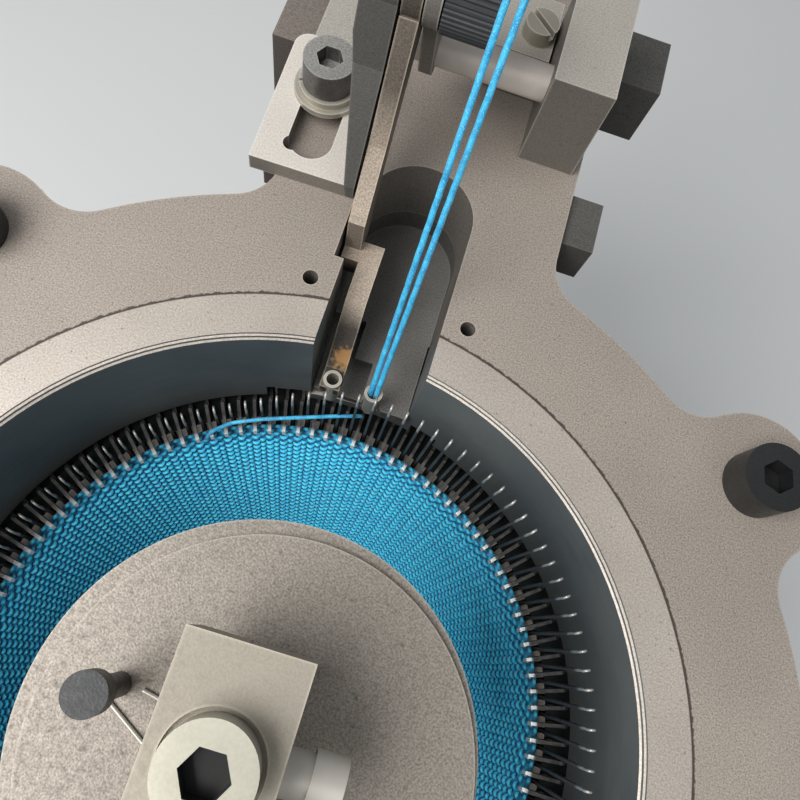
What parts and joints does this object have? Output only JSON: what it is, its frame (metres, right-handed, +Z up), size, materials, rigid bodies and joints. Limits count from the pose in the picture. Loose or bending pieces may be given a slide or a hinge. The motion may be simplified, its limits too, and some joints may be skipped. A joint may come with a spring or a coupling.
{
  "type": "circular knitting machine head",
  "caption": "Circular knitting head: a needle cylinder turns in a cast ring head and knits a tube, with yarn feeder, levers, hold-down disc, gear drive and base.",
  "frame": {"origin": "on the needle cylinder's axis, in the underside of the base plate", "axes": "+Z up along the needle cylinder's axis; +Y towards the rear lobe that carries the yarn feeder; +X to the right seen from the front"},
  "size_m": [0.3, 0.372, 0.394],
  "materials": {
    "cast_grey": "rough sand-cast, bare",
    "base_paint": "pale grey paint",
    "bore_steel": "turned",
    "turned_steel": "turned",
    "dark_steel": "oiled, dark",
    "black_screws": "black oxide",
    "needle_steel": "polished",
    "sinker_steel": "ground",
    "bronze": "turned bronze",
    "plate_steel": "milled",
    "zinc": "bright zinc",
    "arm_alloy": "bead blasted",
    "black_plastic": "matte",
    "ceramic": null,
    "yarn_blue": "twisted synthetic yarn",
    "knit_blue": "plain knit"
  },
  "bodies": {
    "frame": {"base_plate": "base_paint", "lower_pillars": "turned_steel", "bed_plate": "cast_grey", "upper_pillars": "turned_steel", "head_casting": "cast_grey", "pillar_screws": "black_screws", "bore_ring": "bore_steel", "ring_screws": "black_screws", "cam_drum": "cast_grey", "needle_cams": "turned_steel", "cylinder_bush": "bronze", "gear_motor": "base_paint", "motor_terminal_box": "black_plastic", "bed_shaft_bush": "bronze", "head_shaft_bush": "bronze", "feeder_plate": "dark_steel", "feeder_plate_screws": "black_screws", "yarn_tube": "zinc", "lever_shaft": "turned_steel", "lever_bracket": "plate_steel", "cross_rod": "turned_steel", "rear_post": "plate_steel", "screw_block": "plate_steel", "slotted_screw": "zinc", "clamp_plate": "plate_steel", "clamp_washer": "zinc", "clamp_spring_washer": "zinc", "clamp_screw": "dark_steel", "side_brackets": "dark_steel", "rear_block": "cast_grey", "hold_down_disc": "cast_grey", "disc_arm": "arm_alloy", "arm_column": "turned_steel", "arm_screws": "zinc", "arm_clamp_screw": "turned_steel", "disc_stud": "black_screws", "wire_clip": "zinc", "guide_post": "turned_steel", "guide_arm": "dark_steel", "guide_eyes": "ceramic", "yarn_tensioner": "zinc", "yarn_strands": "yarn_blue"},
    "cylinder": {"needle_cylinder": "turned_steel", "cylinder_retainer": "turned_steel", "ring_gear": "turned_steel", "gear_screws": "black_screws", "sinker_ring": "dark_steel", "sinkers": "sinker_steel", "needles": "needle_steel", "needle_latches": "needle_steel", "needle_band": "turned_steel", "knit_tube": "knit_blue"},
    "drive": {"drive_shaft": "turned_steel", "drive_pinion": "bronze", "hand_wheel": "black_plastic", "hand_wheel_screw": "zinc"},
    "carrier": {"carrier_lever": "cast_grey", "second_yarn_tube": "zinc"},
    "stop": {"stop_lever": "dark_steel"},
    "sleeve": {"knurled_sleeve": "black_plastic"}
  },
  "joints": [
    {"name": "cylinder_spin", "type": "hinge", "parent": "frame", "child": "cylinder", "pos_m": [0, 0, 0.1], "axis": [0, 0, 1], "continuous": true},
    {"name": "drive_spin", "type": "hinge", "parent": "frame", "child": "drive", "pos_m": [0.04649, -0.09969, 0.1], "axis": [0, 0, 1], "continuous": true},
    {"name": "carrier_swing", "type": "hinge", "parent": "frame", "child": "carrier", "pos_m": [-0.0135, 0.1454, 0.2877], "axis": [1, 0, 0], "range_deg": [0, 4]},
    {"name": "stop_swing", "type": "hinge", "parent": "frame", "child": "stop", "pos_m": [-0.0202, 0.1454, 0.2877], "axis": [-1, 0, 0], "range_deg": [0, 8]},
    {"name": "sleeve_turn", "type": "hinge", "parent": "frame", "child": "sleeve", "pos_m": [-0.0017, 0.1454, 0.2877], "axis": [1, 0, 0], "continuous": true}
  ],
  "couplings": [
    {"joint": "drive_spin", "follows": "cylinder_spin", "ratio": -4.5}
  ]
}
